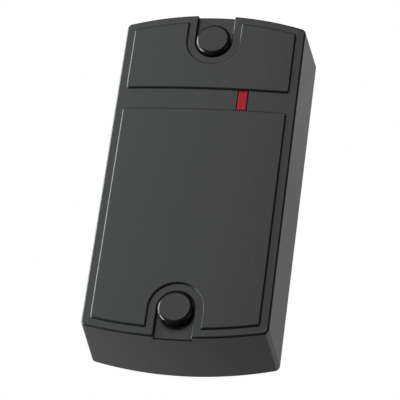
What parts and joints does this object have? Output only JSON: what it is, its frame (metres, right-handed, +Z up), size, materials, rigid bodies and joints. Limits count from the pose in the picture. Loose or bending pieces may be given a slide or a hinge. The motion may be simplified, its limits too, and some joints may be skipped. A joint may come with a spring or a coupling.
{
  "type": "rfid card reader",
  "caption": "Wall-mounted proximity card reader: drafted dark shell with bulged ends, crowned panelled face, screw caps in end notches and a red indicator window.",
  "frame": {"origin": "centre of the rear face, which lies against the wall", "axes": "+Z up, +X to the right as seen by someone facing the reader, +Y into the wall; the face looks along -Y"},
  "size_m": [0.043, 0.019, 0.085],
  "materials": {
    "shell_plastic": "fine moulded texture, dark charcoal ABS",
    "plate_plastic": "moulded black ABS, satin",
    "cap_plastic": "smooth dark plastic with a low gloss",
    "lens_red": "red tinted light guide",
    "screw_steel": "zinc plated steel",
    "seal_rubber": "matte black rubber",
    "board_green": "green solder mask on glass epoxy",
    "copper": "enamelled copper wire, wound",
    "former_plastic": "natural nylon",
    "black_plastic": "black nylon",
    "chip_epoxy": "moulded epoxy with tinned leads",
    "can_steel": "drawn steel can",
    "can_aluminium": "drawn aluminium can",
    "film_red": "dipped red epoxy",
    "connector_white": "natural white nylon",
    "led_white": "milky epoxy"
  },
  "bodies": {
    "reader": {"front_housing": "shell_plastic", "indicator_lens": "lens_red", "rear_plate": "plate_plastic", "rear_gasket": "seal_rubber", "cable_grommet": "seal_rubber", "plate_screw_upper_right": "screw_steel", "plate_screw_upper_left": "screw_steel", "plate_screw_lower_left": "screw_steel", "plate_screw_lower_right": "screw_steel", "circuit_board": "board_green", "board_screw_upper_left": "screw_steel", "board_screw_lower_left": "screw_steel", "board_screw_lower_right": "screw_steel", "coil_former": "former_plastic", "antenna_coil": "copper", "status_led": "led_white", "led_shroud": "black_plastic", "buzzer": "black_plastic", "microcontroller": "chip_epoxy", "reader_chip": "chip_epoxy", "voltage_regulator": "chip_epoxy", "crystal": "can_steel", "filter_capacitor": "can_aluminium", "tuning_capacitor": "film_red", "surge_diode": "chip_epoxy", "cable_connector": "connector_white"},
    "cap_top": {"screw_cap_top": "cap_plastic"},
    "cap_bottom": {"screw_cap_bottom": "cap_plastic"},
    "screw_top": {"mounting_screw_top": "screw_steel"},
    "screw_bottom": {"mounting_screw_bottom": "screw_steel"}
  },
  "joints": [
    {"name": "cap_top_pull", "type": "slide", "parent": "reader", "child": "cap_top", "axis": [0, -1, 0], "range_m": [0, 0.01]},
    {"name": "cap_bottom_pull", "type": "slide", "parent": "reader", "child": "cap_bottom", "axis": [0, -1, 0], "range_m": [0, 0.01]},
    {"name": "screw_top_turn", "type": "hinge", "parent": "reader", "child": "screw_top", "pos_m": [0, -0.0126, 0.03445], "axis": [0, 1, 0], "continuous": true},
    {"name": "screw_bottom_turn", "type": "hinge", "parent": "reader", "child": "screw_bottom", "pos_m": [0, -0.0126, -0.03445], "axis": [0, 1, 0], "continuous": true}
  ]
}
